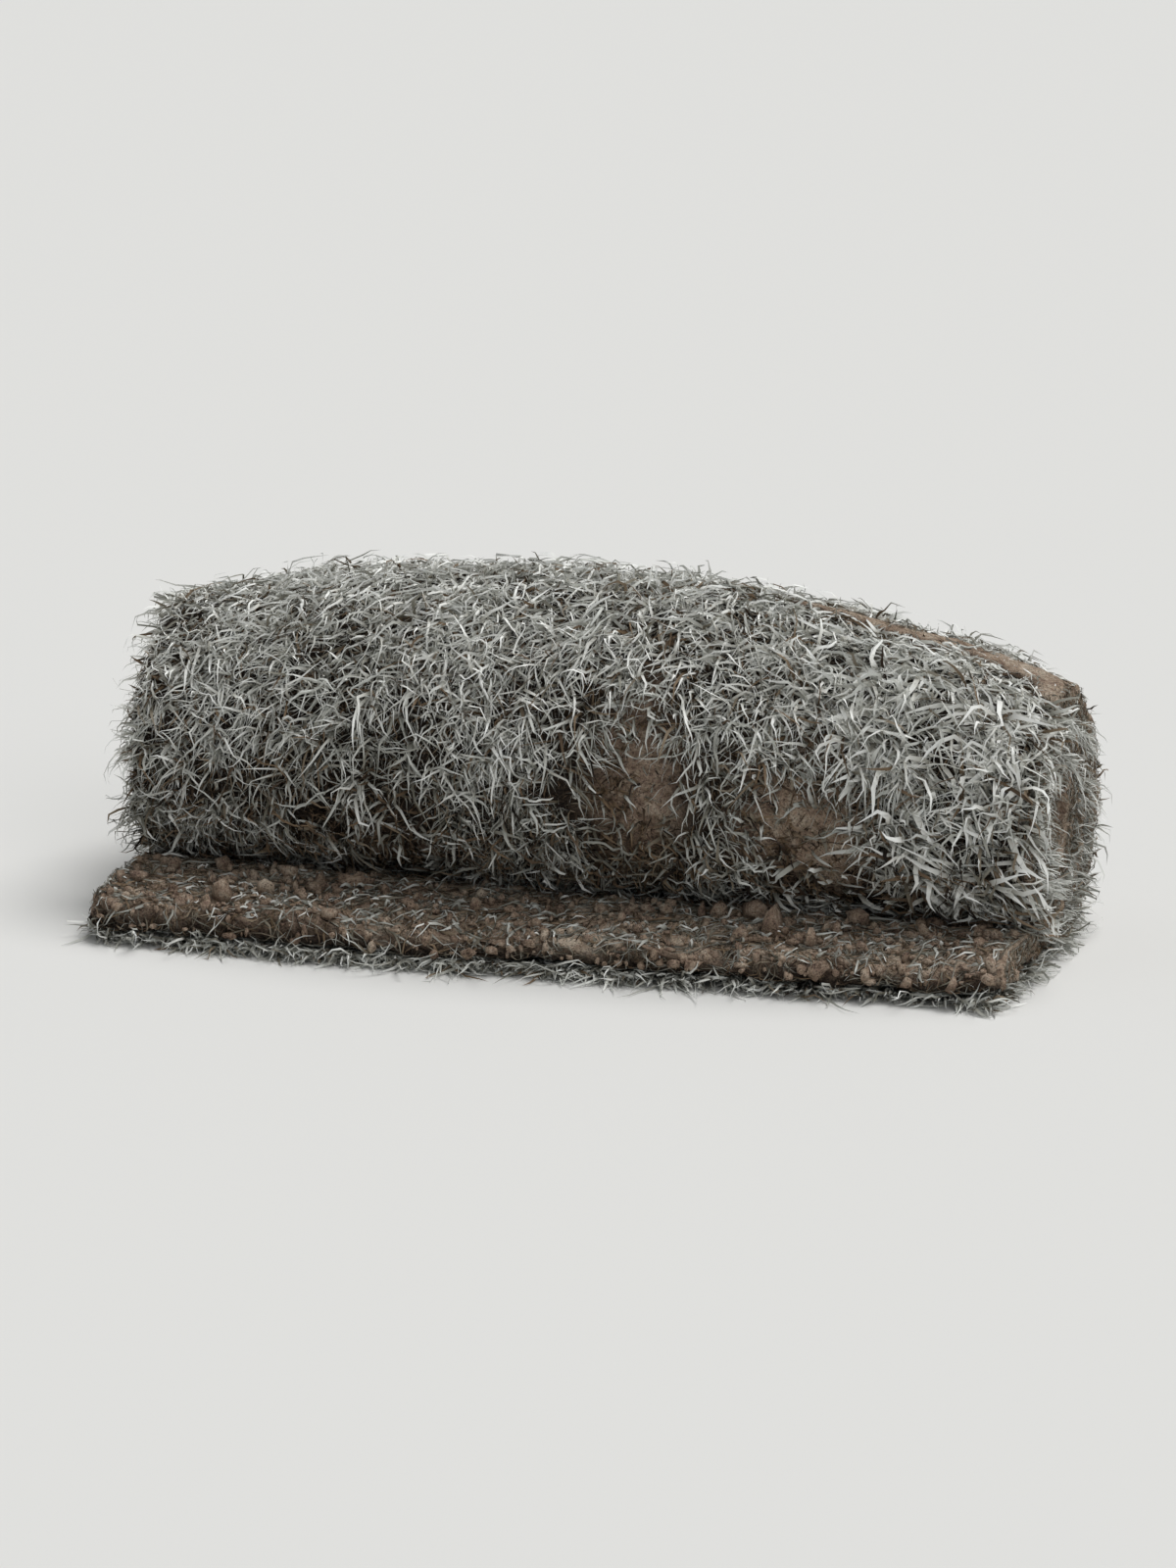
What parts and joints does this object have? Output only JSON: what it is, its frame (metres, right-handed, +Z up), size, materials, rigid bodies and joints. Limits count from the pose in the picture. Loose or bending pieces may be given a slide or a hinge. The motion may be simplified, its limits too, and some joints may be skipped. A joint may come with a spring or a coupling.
{
  "type": "roll of turf",
  "caption": "Strip of living turf wound grass side out into a roll, lying on its side with the free end on the ground.",
  "frame": {"origin": "on the ground, under the middle of the box", "axes": "+X along the roll, which is across the strip; -Y the side where the free end lies; +Z up"},
  "size_m": [0.61, 0.3091, 0.2293],
  "materials": {
    "grass": "matte",
    "root_mat": "matte"
  },
  "bodies": {
    "root": {"turf_roll": "grass"}
  },
  "joints": []
}
